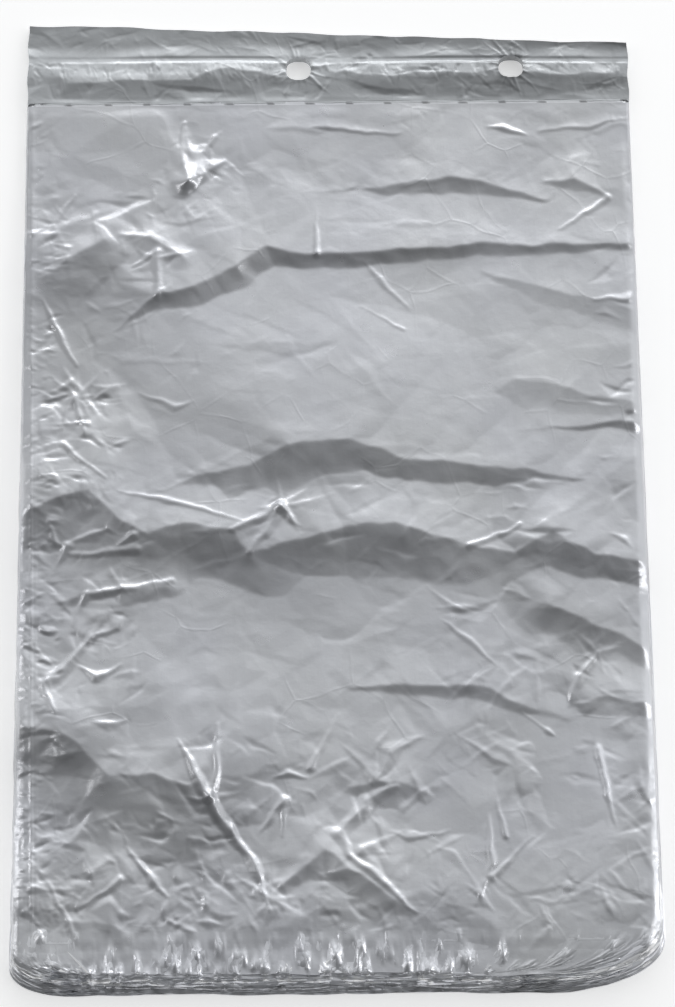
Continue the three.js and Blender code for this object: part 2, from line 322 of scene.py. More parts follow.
# Sharp creases that ride on the broad folds.
SHARP_CREASES = [
    # the pinch under the neck, and the lines that run up to it
    ([(0.26, 0.02, 0.6), (0.255, 0.055, 2.2), (0.27, 0.1, 2.6)], 0.4, 0.16),
    ([(0.27, 0.1, 2.6), (0.29, 0.06, 2.0), (0.33, 0.03, 0.6)], 0.2, 0.35),
    ([(0.27, 0.1, 2.2), (0.3, 0.085, 2.0), (0.33, 0.07, 0.6)], 0.16, 0.4),
    ([(0.11, 0.11, 0.3), (0.25, 0.005, 0.9)], 0.4, 0.3),
    ([(0.14, 0.105, 0.2), (0.26, 0.02, 0.8)], 0.4, 0.3),
    ([(0.08, 0.085, 0.2), (0.19, 0.01, 0.6)], 0.35, 0.35),
    # the neck's right half
    ([(0.76, 0.03, 0.2), (0.79, 0.03, 1.4), (0.83, 0.04, 0.3)], 0.4, 0.35),
    ([(0.88, 0.16, 0.4), (0.96, 0.12, 1.2)], 0.3, 0.3),
    ([(0.48, 0.135, 0.2), (0.48, 0.19, 1.6)], 0.5, 0.5),
    # the left shoulder
    ([(0.04, 0.155, 0.3), (0.08, 0.11, 1.3)], 0.5, 0.3),
    ([(0.18, 0.2, 0.6), (0.22, 0.185, 1.6), (0.22, 0.24, 1.2)], 0.4, 0.35),
    ([(0.03, 0.235, 0.3), (0.06, 0.28, 1.5), (0.09, 0.32, 0.6)], 0.45, 0.4),
    # under the long fold
    ([(0.56, 0.2, 0.3), (0.585, 0.22, 0.8), (0.63, 0.255, 0.2)], 0.25, 0.2),
    ([(0.55, 0.25, 0.2), (0.62, 0.28, 0.5)], 0.3, 0.25),
    ([(0.93, 0.245, 0.3), (0.99, 0.245, 1.2)], 0.2, 0.4),
    ([(0.19, 0.355, 0.2), (0.25, 0.37, 0.9), (0.28, 0.365, 0.2)], 0.25, 0.2),
    # the crumple at the left of the arch
    ([(0.06, 0.42, 0.3), (0.085, 0.355, 1.5), (0.11, 0.41, 0.3)], 0.4, 0.4),
    ([(0.07, 0.415, 1.2), (0.14, 0.455, 0.5)], 0.4, 0.4),
    ([(0.06, 0.39, 0.3), (0.11, 0.39, 1.1)], 0.4, 0.4),
    # along the jagged fold
    ([(0.34, 0.515, 0.8), (0.42, 0.49, 2.2), (0.37, 0.54, 1.0)], 0.35, 0.35),
    ([(0.42, 0.49, 1.8), (0.45, 0.51, 0.3)], 0.4, 0.3),
    ([(0.72, 0.535, 1.2), (0.8, 0.51, 0.8)], 0.45, 0.3),
    ([(0.16, 0.47, 0.3), (0.24, 0.48, 1.0), (0.36, 0.505, 0.3)], 0.3, 0.3),
    ([(0.06, 0.555, 0.3), (0.08, 0.53, 2.0)], 0.45, 0.35),
    ([(0.085, 0.54, 0.6), (0.19, 0.535, 1.3)], 0.3, 0.25),
    ([(0.16, 0.53, 0.4), (0.185, 0.52, 1.6)], 0.5, 0.35),
    # the left side below it
    ([(0.12, 0.585, 0.9), (0.25, 0.57, 0.8)], 0.35, 0.3),
    ([(0.11, 0.585, 1.4), (0.09, 0.62, 0.5)], 0.45, 0.4),
    ([(0.13, 0.63, 0.8), (0.07, 0.67, 1.8), (0.045, 0.685, 1.6), (0.065, 0.72, 0.5)], 0.5, 0.3),
    ([(0.1, 0.665, 0.4), (0.13, 0.68, 1.8), (0.17, 0.665, 0.4)], 0.4, 0.4),
    # the right side below it
    ([(0.67, 0.615, 0.2), (0.72, 0.64, 0.8), (0.76, 0.67, 0.2)], 0.3, 0.25),
    ([(0.8, 0.72, 0.4), (0.84, 0.74, 1.2), (0.87, 0.755, 0.4)], 0.4, 0.3),
    ([(0.87, 0.715, 1.0), (0.89, 0.68, 1.4), (0.92, 0.655, 0.6)], 0.4, 0.3),
    ([(0.915, 0.76, 1.6), (0.925, 0.8, 1.8), (0.94, 0.845, 0.3)], 0.45, 0.4),
    # the long crease across the lower left, and its branches
    ([(0.26, 0.75, 0.5), (0.285, 0.785, 2.0), (0.32, 0.83, 2.6), (0.38, 0.885, 2.4),
      (0.4, 0.935, 0.5)], 0.55, 0.45),
    ([(0.32, 0.73, 0.5), (0.32, 0.79, 1.8), (0.305, 0.815, 2.2)], 0.5, 0.5),
    ([(0.41, 0.79, 0.3), (0.43, 0.785, 1.6), (0.46, 0.79, 0.4)], 0.4, 0.4),
    ([(0.51, 0.72, 0.3), (0.465, 0.78, 1.4)], 0.4, 0.35),
    ([(0.37, 0.86, 0.5), (0.425, 0.815, 2.0), (0.42, 0.855, 0.5)], 0.45, 0.4),
    # the hook to the right of it
    ([(0.6, 0.8, 0.8), (0.55, 0.815, 2.0), (0.51, 0.85, 1.8), (0.52, 0.875, 0.4)], 0.4, 0.25),
    ([(0.515, 0.85, 0.5), (0.525, 0.875, 1.3), (0.57, 0.9, 1.5), (0.63, 0.94, 0.4)], 0.4, 0.4),
    ([(0.75, 0.8, 0.3), (0.77, 0.855, 1.0)], 0.4, 0.4),
    ([(0.74, 0.825, 0.4), (0.745, 0.885, 1.6), (0.72, 0.93, 0.4)], 0.45, 0.4),
    ([(0.81, 0.855, 0.3), (0.745, 0.9, 1.4)], 0.45, 0.35),
    # above the hem, on the left
    ([(0.18, 0.865, 0.4), (0.22, 0.9, 1.8), (0.245, 0.92, 0.6)], 0.45, 0.45),
    ([(0.11, 0.93, 0.3), (0.17, 0.9, 1.4)], 0.45, 0.4),
    ([(0.055, 0.9, 0.4), (0.1, 0.96, 1.2)], 0.4, 0.4),
    ([(0.24, 0.94, 0.6), (0.28, 0.955, 1.2)], 0.4, 0.4),
]

# How strongly the film is crumpled: across, down, their reaches, and an amount.
CRUMPLED_PLACES = [
    (0.5, 0.78, 0.6, 0.16, 0.9),
    (0.05, 0.4, 0.12, 0.1, 1.5),
    (0.06, 0.62, 0.12, 0.12, 1.8),
    (0.08, 0.9, 0.2, 0.07, 3.0),
    (0.35, 0.88, 0.15, 0.08, 1.1),
    (0.88, 0.72, 0.14, 0.14, 1.1),
    (0.15, 0.18, 0.14, 0.08, 1.2),
    (0.28, 0.08, 0.12, 0.06, 0.9),
    (0.35, 0.95, 0.5, 0.025, 0.8),
    (0.9, 0.06, 0.12, 0.05, 0.6),
    (0.6, 0.33, 0.3, 0.08, -0.15),
]

# Crumpled places: count, box (across, down, across, down), length, angle and slope ranges.
CRUMPLES = [
    (220, (0.0, 0.0, 1.0, 0.97), (14, 70), (-35, 35), (0.02, 0.07)),
    (120, (0.0, 0.0, 1.0, 0.97), (10, 50), (50, 130), (0.02, 0.08)),
    (520, (0.0, 0.02, 0.06, 0.97), (4, 15), (-32, 32), (0.25, 0.7)),
    (100, (0.02, 0.33, 0.17, 0.49), (5, 24), (0, 180), (0.18, 0.5)),
    (110, (0.02, 0.5, 0.2, 0.74), (5, 26), (0, 180), (0.18, 0.5)),
    (60, (0.02, 0.1, 0.28, 0.33), (8, 34), (0, 180), (0.08, 0.25)),
    (200, (0.0, 0.74, 1.0, 0.96), (6, 36), (0, 180), (0.1, 0.32)),
    (200, (0.0, 0.83, 0.36, 0.965), (4, 20), (0, 180), (0.18, 0.5)),
    (420, (0.0, 0.85, 0.095, 0.97), (2.5, 8), (0, 180), (0.3, 0.8)),
    (160, (0.2, 0.9, 0.75, 0.965), (4, 18), (0, 180), (0.15, 0.45)),
    (60, (0.3, 0.73, 0.6, 0.95), (6, 30), (30, 150), (0.1, 0.35)),
    (60, (0.68, 0.56, 0.98, 0.82), (8, 36), (0, 180), (0.08, 0.3)),
    (60, (0.2, 0.02, 0.36, 0.14), (6, 22), (0, 180), (0.1, 0.35)),
    (80, (0.93, 0.03, 1.0, 0.97), (5, 24), (-50, 50), (0.12, 0.35)),
    (60, (0.3, 0.46, 1.0, 0.56), (8, 36), (-30, 60), (0.08, 0.28)),
    (90, (0.0, 0.004, 1.0, 0.03), (4, 14), (40, 140), (0.1, 0.3)),
    (60, (0.82, 0.9, 1.0, 0.97), (5, 22), (0, 180), (0.15, 0.4)),
    (330, (0.0, 0.968, 0.5, 0.997), (4, 14), (74, 106), (0.14, 0.38)),
    (200, (0.5, 0.968, 1.0, 0.997), (3, 11), (70, 110), (0.08, 0.24)),
    (160, (0.0, 0.95, 1.0, 0.972), (3, 9), (30, 150), (0.12, 0.3)),
]
# Where creases meet: a place (across, down), and how many rays, their reach, crest and slope.
STARS = [
    ((0.4, 0.92), 8, 22, 0.9, 0.3),
    ((0.42, 0.49), 6, 24, 0.8, 0.3),
    ((0.22, 0.19), 5, 24, 0.8, 0.25),
    ((0.09, 0.355), 7, 20, 0.8, 0.3),
    ((0.305, 0.815), 6, 20, 0.8, 0.3),
    ((0.92, 0.655), 6, 22, 0.8, 0.3),
]


def roughened(nodes, random, step=9.0, wander=1.1):
    """A crest line with small kinks put in, about every step mm."""
    points = [nodes[0]]
    for a, b in zip(nodes, nodes[1:]):
        count = max(1, round(math.hypot(b[0] - a[0], b[1] - a[1]) / step))
        for k in range(1, count):
            t = (k + random.uniform(-0.3, 0.3)) / count
            x, y, h = (p + (q - p) * t for p, q in zip(a, b))
            kink = random.uniform(-wander, wander)
            points.append((x, y + kink, h * random.uniform(0.88, 1.12)))
        points.append(b)
    return points


# The welded side's three lines: how far across each starts and ends, and its height.
SIDE_WELDS = [(0.003, 0.012, 0.4), (0.008, 0.034, 0.6), (0.012, 0.042, 0.3)]
HEM_WELD_DOWN = 0.966
HEM_GROOVE_DOWN = 0.972


def weld_lines(height):
    """The welded left side, and the line welded over the hem with the groove beside it."""
    for top_share, hem_share, crest in SIDE_WELDS:
        seam = [on_bag(top_share, 0.0, crest), on_bag(hem_share, 0.97, crest)]
        crease(height, seam, 0.6, 0.6, join=np.add)
    weld = [on_bag(share, HEM_WELD_DOWN, 0.4) for share in (0.01, 0.99)]
    crease(height, weld, 0.35, 0.5, join=np.add)
    groove = [on_bag(share, HEM_GROOVE_DOWN, -0.3) for share in (0.01, 0.99)]
    crease(height, groove, 0.5, 0.5, join=np.add)


FOLD_EASE = (2.2, 1.25)  # how the broad folds' two flanks level out towards their feet


def front_relief(random):
    """The front bag's wrinkles, from the broad folds down to the finest crumples."""
    relief = np.zeros((ROWS, COLS))
    for nodes, up_slope, down_slope in BROAD_FOLDS:
        crest = roughened([on_bag(*n) for n in nodes], random, wander=0.7)
        join = np.maximum if max(n[2] for n in nodes) > RIDING_HEIGHT else np.add
        crease(relief, crest, up_slope, down_slope, join, ease=FOLD_EASE)
    relief = relief + 0.15 * noise(random, 9)
    for centre, rays, reach, crest, slope in STARS:
        star(relief, random, centre, rays, reach, crest, slope)
    amount = strength(CRUMPLED_PLACES, 0.3)
    relief = relief + crumpled(random, 40, 0.8) + crumpled(random, 19, 0.42) * amount
    relief = relief + crumpled(random, 9, 0.22) * amount
    for crumple in CRUMPLES:
        scatter(relief, random, *crumple)
    relief = warped(relief, random, 9, 1.1)
    for nodes, up_slope, down_slope in SHARP_CREASES:
        crest = [on_bag(a, d, SHARPNESS * h) for a, d, h in nodes]
        crease(relief, roughened(crest, random, 6.0, 0.15), up_slope, down_slope, join=np.add)
    relief = warped(relief, random, 2.5, 0.35)
    weld_lines(relief)
    return blurred(relief, 0.3)


def hidden_relief(random):
    """Wrinkles of a bag that lies under the front one."""
    relief = np.zeros((ROWS, COLS))
    for nodes, up_slope, down_slope in BROAD_FOLDS:
        lowered = [on_bag(a, d, 0.45 * h) for a, d, h in nodes]
        crease(relief, lowered, up_slope * 0.5, down_slope * 0.5, ease=FOLD_EASE)
    relief = relief + crumpled(random, 35, 0.8) + crumpled(random, 16, 0.35)
    for count, box, size, angle, steepness in CRUMPLES:
        scatter(relief, random, count // 2, box, size, angle, [0.6 * s for s in steepness])
    relief = warped(relief, random, 7, 2.0)
    weld_lines(relief)
    return blurred(relief + noise(random, 10) * 0.3, 0.6)


# ---- Laying up the pile ----

CUT_PITCH = 20.0  # the perforation's cuts
CUT_LENGTH = 4.0
CUT_WANDER = 1.5
NECK_RAMP = 150.0  # length over which the pile rises from the neck to its full height
HEM_RAMP = 40.0  # and over which it falls to the hem
NECK_PITCH = HEADER_Z / BAG_COUNT
HEM_THICKNESS = 8.0
HEM_PITCH = HEM_THICKNESS / BAG_COUNT
LOFT = 0.16  # height of a pressed bag in the middle of the pile
CRIMP = 0.14  # height of the crimps along a pressed bag's hem
PAINTED_SPECKLE = 0.2  # and how strongly painted glints and painted shade speckle the film along the stack's hem
FOLD_ROOM = 6.2  # how far the front bag's flats lie under the pile's highest fold
BAG_STEP = 0.7  # and each of the next bags under the one in front of it
EDGE_SHARE = 0.3  # how much of its thickness a loose bag keeps at its side edges
EDGE_RAMP = 5.0
PRESSED_MESH = dict(columns=204, rows=312, stride=12, fine_band=12)
LOOSE_MESH = dict(columns=252, rows=372, stride=12, fine_band=None)
FRONT_MESH = dict(columns=432, rows=648, stride=12, fine_band=None)
BACK_STRIDE = 2  # how many cells of a loose bag's front a face of its back spans


def profile(neck, middle, hem):
    """A height that runs from the neck over the middle to the hem, on the whole map."""
    down = NECK - GY
    rise = smooth(down / NECK_RAMP)
    fall = smooth((down - (LENGTH - HEM_RAMP)) / HEM_RAMP)
    return (neck + (middle - neck) * rise) * (1 - fall) + hem * fall + 0 * GX


class Outline:
    """A bag's edges in plan. depth is 0 for the front bag and 1 for the rearmost."""

    CORNER_LEFT = (26.0, 13.0)  # along the hem, and up from it
    CORNER_RIGHT = (55.0, 25.0)
    FRONT_LEFT = 1.0  # where the front bag's hem ends, against the header's ends
    FRONT_RIGHT = 1.5

    def __init__(self, depth, top):
        jitter = rng.uniform(-1, 1, 3) * min(1, depth * 25)
        self.top = top
        self.hem = FRONT_HEM + (REAR_HEM - FRONT_HEM) * depth + 0.9 * jitter[0]
        front, rear = LEFT + self.FRONT_LEFT, REAR_LEFT
        self.left_hem = front + (rear - front) * depth + 0.6 * jitter[1]
        front, rear = RIGHT + self.FRONT_RIGHT, REAR_RIGHT
        self.right_hem = front + (rear - front) * depth + 0.5 * jitter[2]
        self.wave = rng.uniform(0, 2 * math.pi, 6)

    def straight(self, y):
        """Left and right x at a y, as if the hem's corners were square."""
        down = np.clip((NECK - y) / (NECK - self.hem), 0, 1)
        left = LEFT + (self.left_hem - LEFT) * down + 0.3 * np.sin(y / 17 + self.wave[0])
        left = left + 0.2 * np.sin(y / 5.3 + self.wave[1])
        right = RIGHT + (self.right_hem - RIGHT) * down + 0.3 * np.sin(y / 23 + self.wave[2])
        return left, right

    def sides(self, y):
        """Left and right x at a y, with the hem's rounded corners."""
        left, right = self.straight(y)
        return left + self.corner(y, *self.CORNER_LEFT), right - self.corner(y, *self.CORNER_RIGHT)

    def corner(self, y, run, rise):
        """How far a rounded corner draws in its side at a y."""
        up = np.clip((y - self.hem) / rise, 0, 1)
        return run * (1 - np.sqrt(1 - (1 - up) ** 2))

    def ripple(self, x, y):
        """How far the film's lower end wanders along Y."""
        wander = 0.5 * np.sin(x / 19 + self.wave[3]) + 0.3 * np.sin(x / 6.1 + self.wave[4])
        return wander * smooth((self.hem + 12 - y) / 12)

    def inside(self):
        y = GY - self.ripple(GX, GY)
        left, right = self.sides(y)
        return (y > self.hem) & (GY < self.top) & (GX > left) & (GX < right)


CORNER_PULL = 1.6  # how far a rounded corner draws in the mesh, in widths of the corner


def grid_lines(outline, columns, rows, corner_rows=12, corner=20.0):
    """x and y of a bag's mesh points: rows run from the neck to the hem, closer near the hem."""
    plain = rows - corner_rows
    upper = np.linspace(outline.top, outline.hem + corner, plain + 1)
    lower = outline.hem + corner * (1 - np.arange(1, corner_rows + 1) / corner_rows) ** 1.6
    y = np.concatenate([upper, lower])[:, None]
    left, right = outline.straight(y)
    across = np.linspace(0, 1, columns + 1)[None, :]
    x = left + (right - left) * across
    for sign, inward, (run, rise) in (
        (1, x - left, outline.CORNER_LEFT),
        (-1, right - x, outline.CORNER_RIGHT),
    ):
        x = x + sign * outline.corner(y, run, rise) * np.clip(1 - inward / (CORNER_PULL * run), 0, 1)
    return x, y + outline.ripple(x, y)


def ply_faces(rows, columns, stride, fine):
    """Faces of a grid of points, as lists of indices: small quads where fine says so, and one
    large face for each stride x stride block elsewhere, with its neighbours' points on its rim."""
    width = columns + 1
    blocks = fine.reshape(rows // stride, stride, columns // stride, stride)[:, 0, :, 0]
    split = np.pad(blocks, 1, constant_values=True)
    r, c = np.nonzero(fine)
    first = r * width + c
    small = np.stack([first, first + width, first + width + 1, first + 1], 1)
    large = []
    for br, bc in zip(*np.nonzero(~blocks)):
        r0, c0 = br * stride, bc * stride
        r1, c1 = r0 + stride, c0 + stride
        down = [r * width + c0 for r in range(r0, r1)]
        right = [r1 * width + c for c in range(c0, c1)]
        up = [r * width + c1 for r in range(r1, r0, -1)]
        left = [r0 * width + c for c in range(c1, c0, -1)]
        near = split[br + 1, bc], split[br + 2, bc + 1], split[br + 1, bc + 2], split[br, bc + 1]
        rim = []
        for side, split_there in zip((down, right, up, left), near):
            rim += side if split_there else side[:1]
        large.append(rim)
    return small, large


FILM_EDGE_ANGLE = math.radians(55)  # steeper bends than this are the film's cut edges


def make_mesh(name, points, faces, tone):
    """A mesh object from points in mm and faces as lists of indices. Unused points are left out.

    tone is a value per point, by which the material dims or brightens the film; it carries painted
    shade and light."""
    sizes = np.array([len(f) for f in faces], np.int32)
    flat = np.concatenate([np.asarray(f, np.int64) for f in faces])
    used, flat = np.unique(flat, return_inverse=True)
    mesh = bpy.data.meshes.new(name)
    mesh.vertices.add(len(used))
    mesh.vertices.foreach_set("co", (points[used] * MM).astype(np.float32).ravel())
    mesh.loops.add(len(flat))
    mesh.loops.foreach_set("vertex_index", flat.astype(np.int32))
    starts = np.concatenate([[0], np.cumsum(sizes)[:-1]]).astype(np.int32)
    mesh.polygons.add(len(sizes))
    mesh.polygons.foreach_set("loop_start", starts)
    mesh.polygons.foreach_set("use_smooth", np.ones(len(sizes), bool))
    mesh.update(calc_edges=True)
    mesh.validate()
    mesh.set_sharp_from_angle(angle=FILM_EDGE_ANGLE)
    shade = mesh.attributes.new("tone", "FLOAT", "POINT")
    shade.data.foreach_set("value", np.asarray(tone)[used].astype(np.float32))
    obj = bpy.data.objects.new(name, mesh)
    bpy.context.scene.collection.objects.link(obj)
    return obj


def envelope(name, outline, under, over, tone, columns, rows, stride, fine_band):
    """A closed film envelope between two height maps.

    fine_band is the number of small cells kept along the sides and the hem, or None for all."""
    x, y = grid_lines(outline, columns, rows)
    low = sample(under, x, y) + TOUCH
    high = np.maximum(sample(over, x, y), low + TOUCH)
    count = x.size
    points = np.concatenate([
        np.stack([x, y, high], -1).reshape(-1, 3),
        np.stack([x, y, low], -1).reshape(-1, 3),
    ])
    shade = np.tile(sample(tone, x, y).ravel(), 2)
    fine = np.ones((rows, columns), bool)
    if fine_band is not None:
        fine[: rows - fine_band, fine_band : columns - fine_band] = False
    small, large = ply_faces(rows, columns, stride, fine)
    back_stride = stride if fine_band else BACK_STRIDE
    _, back = ply_faces(rows, columns, back_stride, np.zeros((rows, columns), bool))
    faces = list(small) + large
    faces += [[i + count for i in reversed(f)] for f in back]
    width = columns + 1
    rim = [r * width for r in range(rows)]
    rim += [rows * width + c for c in range(columns)]
    rim += [r * width + columns for r in range(rows, 0, -1)]
    rim += [c for c in range(columns, 0, -1)]
    for a, b in zip(rim, rim[1:] + rim[:1]):
        faces.append([b, a, a + count, b + count])
    return make_mesh(name, points, faces, shade)


def finished(piece, material, node):
    """Gives a piece its film, and hides the CAD node it stands for."""
    piece.data.materials.append(material)
    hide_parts(node)


# Places where painted shade darkens the film and painted light brightens it, for the light
# and shade of its broad folds: across, down, their reaches, and the change of tone.
PAINTED_SHADE_AND_LIGHT_PLACES = [
    (0.08, 0.23, 0.09, 0.05, -0.2),
    (0.12, 0.28, 0.09, 0.05, -0.2),
    (0.14, 0.13, 0.08, 0.04, -0.12),
    (0.6, 0.3, 0.3, 0.07, 0.08),
    (0.55, 0.5, 0.45, 0.03, 0.05),
    (0.1, 0.58, 0.1, 0.02, -0.15),
    (0.09, 0.765, 0.12, 0.045, -0.52),
    (0.29, 0.84, 0.09, 0.05, -0.36),
    (0.55, 0.08, 0.6, 0.05, -0.1),
    (0.65, 0.19, 0.25, 0.018, -0.2),
    (0.12, 0.88, 0.12, 0.04, 0.14),
    (0.9, 0.62, 0.1, 0.03, -0.16),
    (0.46, 0.45, 0.16, 0.02, -0.22),
    (0.78, 0.465, 0.22, 0.012, -0.14),
    (0.22, 0.54, 0.16, 0.018, -0.24),
    (0.52, 0.54, 0.2, 0.018, -0.22),
    (0.92, 0.56, 0.1, 0.018, -0.18),
    (0.51, 0.66, 0.05, 0.03, 0.14),
    (0.93, 0.72, 0.04, 0.05, 0.14),
    (0.93, 0.8, 0.025, 0.04, 0.2),
    (0.41, 0.92, 0.05, 0.02, 0.2),
]


def cut_phase(x):
    """How far along the perforation's pitch an x lies; a cut comes first, and then a tie."""
    return (x - LEFT + CUT_WANDER * np.sin(x / 31)) % CUT_PITCH


def bag_tone(depth, shift):
    """How much a bag's film is dimmed or brightened: painted shade and light at the listed places,
    lighter in the lower half, and on the bags behind the front one painted shade under the
    perforation's cuts, along the hem and at the sides.
    """
    down = np.clip((NECK - GY) / LENGTH, 0, 1)
    # painted shade and painted light at the listed places
    tone = strength(PAINTED_SHADE_AND_LIGHT_PLACES, 1.0 + 0.4 * min(1, 3 * depth) + shift)
    tone = tone + 0.14 * smooth((down - 0.5) / 0.3)
    if depth:
        # painted shadow on the film under the perforation's cuts
        cut = cut_phase(GX) < CUT_LENGTH
        tone = tone - 0.85 * cut * (np.abs(GY - HINGE_Y + 1.2) < 1.2)
        # painted shade along the hem of the bags behind the front one, darker the deeper the bag
        tone = tone - 0.9 * depth * smooth((REAR_HEM + 14 - GY) / 12)
        # painted shade at the sides of the bags behind the front one, beyond the header's ends
        outside = smooth((GX - RIGHT + 4) / 6) + smooth((LEFT + 3 - GX) / 5)
        tone = tone - 0.5 * depth * outside
    return tone


def pressed_top(pile, crimps):
    """The top of a bag that is pressed flat in the pile, with its crimped hem."""
    moved = np.roll(crimps, tuple(rng.integers(0, 400, 2)), (0, 1))
    edge = smooth((REAR_HEM + 34 - GY) / 10)
    return pile + profile(NECK_PITCH, LOFT, HEM_PITCH) + CRIMP * moved * edge


def loose_top(pile, outline, number):
    """The top of a bag with wrinkles of its own, which closes towards its side edges."""
    layers = BAG_COUNT + 1 - number
    middle = PILE_Z - FOLD_ROOM - (number - 1) * BAG_STEP
    target = profile(layers * NECK_PITCH, middle, layers * HEM_PITCH)
    relief = front_relief(rng) if number == 1 else hidden_relief(rng)
    hold = smooth((NECK + 1 - GY) / 8)
    over = np.maximum(target + relief * hold, pile + 2 * TOUCH)
    left, right = outline.sides(GY)
    inward = np.minimum(GX - left, right - GX)
    open_share = EDGE_SHARE + (1 - EDGE_SHARE) * smooth(inward / EDGE_RAMP)
    return pile + (over - pile) * open_share


def build_pile(loose_film, pressed_film):
    """The bags, from the rearmost to the front one."""
    pile = np.zeros((ROWS, COLS))
    crimps = noise(rng, 3.0, 1.0)
    for number in range(BAG_COUNT, 0, -1):
        name = f"bag_{number:02d}"
        depth = (number - 1) / (BAG_COUNT - 1)
        outline = Outline(depth, NECK if number == 1 else HINGE_Y)
        pressed = number > OWN_WRINKLES
        over = pressed_top(pile, crimps) if pressed else loose_top(pile, outline, number)
        loose_mesh = FRONT_MESH if number == 1 else LOOSE_MESH
        shape = PRESSED_MESH if pressed else loose_mesh
        tone = bag_tone(depth, rng.uniform(-0.15, 0.35) if depth else 0)
        if depth:
            # painted glints and painted shade speckled along the hem of the bags behind the front
            # one
            painted_speckle = np.roll(crimps, tuple(rng.integers(0, 400, 2)), (0, 1))
            tone = tone + PAINTED_SPECKLE * painted_speckle * smooth((FRONT_HEM + 10 - GY) / 8)
        over = np.maximum(over, pile + 2 * TOUCH)
        piece = envelope(name, outline, pile, over, tone, **shape)
        finished(piece, pressed_film if pressed else loose_film, name)
        if number == 1:
            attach(piece, "front_bag")
        else:
            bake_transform(piece)
        pile = np.where(outline.inside(), over, pile)


# ---- The header and the front tear strip ----

HEADER_RISE = 9.0  # how far the header's left end stands above its mean top edge
HEADER_DROP = 4.2  # and how far its right end falls below it
WELD_LEFT_Y = 6.0
WELD_RIGHT_Y = 3.8
WELD_HALF = 1.5
HOLE_SQUARENESS = 2.7  # 2 is a circle, and more is squarer
HEADER_CELLS = (610, 86)  # columns and rows of its mesh
HEADER_EDGE_RINGS = 9  # levels of film that show on its cut edges
HEADER_EDGE_FRAY = 0.18
STRIP_CELLS = (610, 8)


def across(x):
    """How far an x lies across the header, as a share of its width."""
    return (x - LEFT) / WIDTH


def header_top(x):
    """The header's slanting top edge."""
    slant = TOP + HEADER_RISE - (HEADER_RISE + HEADER_DROP) * across(x)
    return slant + 0.35 * np.sin(x / 13.0) + 0.2 * np.sin(x / 4.7)


def weld_y(x):
    """The middle of the weld line."""
    return WELD_LEFT_Y + (WELD_RIGHT_Y - WELD_LEFT_Y) * across(x) + 0.25 * np.sin(x / 21.0)


def hole_distance(x, y):
    """How many hole radii a point lies from the nearest hole's centre."""
    near = np.abs(np.abs(x) - HOLE_X) / HOLE_RADIUS
    return (near**HOLE_SQUARENESS + np.abs(y / HOLE_RADIUS) ** HOLE_SQUARENESS) ** (
        1 / HOLE_SQUARENESS
    )


def share_grid(columns, rows):
    return np.linspace(0, 1, columns + 1)[None, :], np.linspace(0, 1, rows + 1)[:, None]


def cell_points(cells):
    """Which grid points are a corner of a marked cell."""
    rows, columns = cells.shape
    marked = np.zeros((rows + 1, columns + 1), bool)
    for dr in (0, 1):
        for dc in (0, 1):
            marked[dr : rows + dr, dc : columns + dc] |= cells
    return marked


def slab(name, x, y, low, high, keep, tone, rings, fray):
    """A closed body between two height grids, without the cells that keep leaves out.

    Its walls have rings levels, whose points stand off by up to fray."""
    rows, columns = keep.shape
    width, count = columns + 1, x.size
    levels = []
    for level in range(rings + 1):
        share = level / rings
        off = fray if 0 < level < rings else 0
        dx, dy = rng.uniform(-off, off, (2, 1, 1)) + rng.uniform(-off, off, (2, *x.shape)) * 0.5
        levels.append(np.stack([x + dx, y + dy, high + (low - high) * share], -1).reshape(-1, 3))
    r, c = np.nonzero(keep)
    first = r * width + c
    top = np.stack([first, first + width, first + width + 1, first + 1], 1)
    padded = np.pad(keep, 1)
    edges = []
    for dr, dc, a, b in ((0, -1, 0, 1), (1, 0, 1, 2), (0, 1, 2, 3), (-1, 0, 3, 0)):
        free = ~padded[r + 1 + dr, c + 1 + dc]
        edges.append(np.stack([top[free, a], top[free, b]], 1))
    a, b = np.concatenate(edges).T
    faces = [top, top[:, ::-1] + rings * count]
    for level in range(rings):
        upper, lower = level * count, (level + 1) * count
        faces.append(np.stack([b + upper, a + upper, a + lower, b + lower], 1))
    shade = np.tile(tone.ravel(), rings + 1)
    return make_mesh(name, np.concatenate(levels), list(np.concatenate(faces)), shade)


# The header's broad folds between the weld and the perforation, in mm.
TAB_FOLDS = [
    [(-170, -8.0, 1.2), (-130, -7.0, 1.6), (-108, -6.5, 1.6), (-102, -3.5, 1.8),
     (-74, -1.5, 1.6), (-62, -5.0, 0.8)],
    [(-36, -3.0, 0.6), (-10, -4.0, 1.5), (30, -3.5, 1.7), (75, -4.0, 1.6), (108, -2.5, 1.0)],
]


def header_relief(random):
    """The header's wrinkles: rays round the holes, broad folds, and fine puckers."""
    relief = np.zeros((ROWS, COLS))
    for x0 in (-HOLE_X, HOLE_X):
        for k in range(16):
            turn = 2 * math.pi * (k + random.uniform(-0.4, 0.4)) / 16
            near, far = HOLE_RADIUS + 0.5, HOLE_RADIUS + random.uniform(5, 22)
            crest = random.uniform(0.2, 0.6)
            nodes = [(x0 + near * math.cos(turn), near * math.sin(turn), crest),
                     (x0 + far * math.cos(turn), far * math.sin(turn), 0)]
            crease(relief, nodes, 0.4, 0.35, join=np.add)
    for nodes in TAB_FOLDS:
        crease(relief, roughened(nodes, random), 0.16, 0.16, join=np.add, ease=(2.0, 1.2))
    tab, margin = (0.0, -0.058, 1.0, -0.008), (0.0, -0.098, 1.0, -0.06)
    scatter(relief, random, 60, tab, (8, 40), (-14, 14), (0.05, 0.2))
    scatter(relief, random, 180, tab, (4, 18), (35, 145), (0.12, 0.36))
    below_weld = (0.0, -0.052, 1.0, -0.034)
    scatter(relief, random, 240, below_weld, (4, 13), (62, 118), (0.2, 0.55))
    relief += crumpled(random, 11, 0.3)
    scatter(relief, random, 70, margin, (5, 26), (-35, 35), (0.08, 0.24))
    scatter(relief, random, 180, margin, (3, 13), (35, 145), (0.1, 0.32))
    relief = warped(relief, random, 4, 0.7)
    return blurred(relief + 0.12 * noise(random, 3, 9), 0.25)


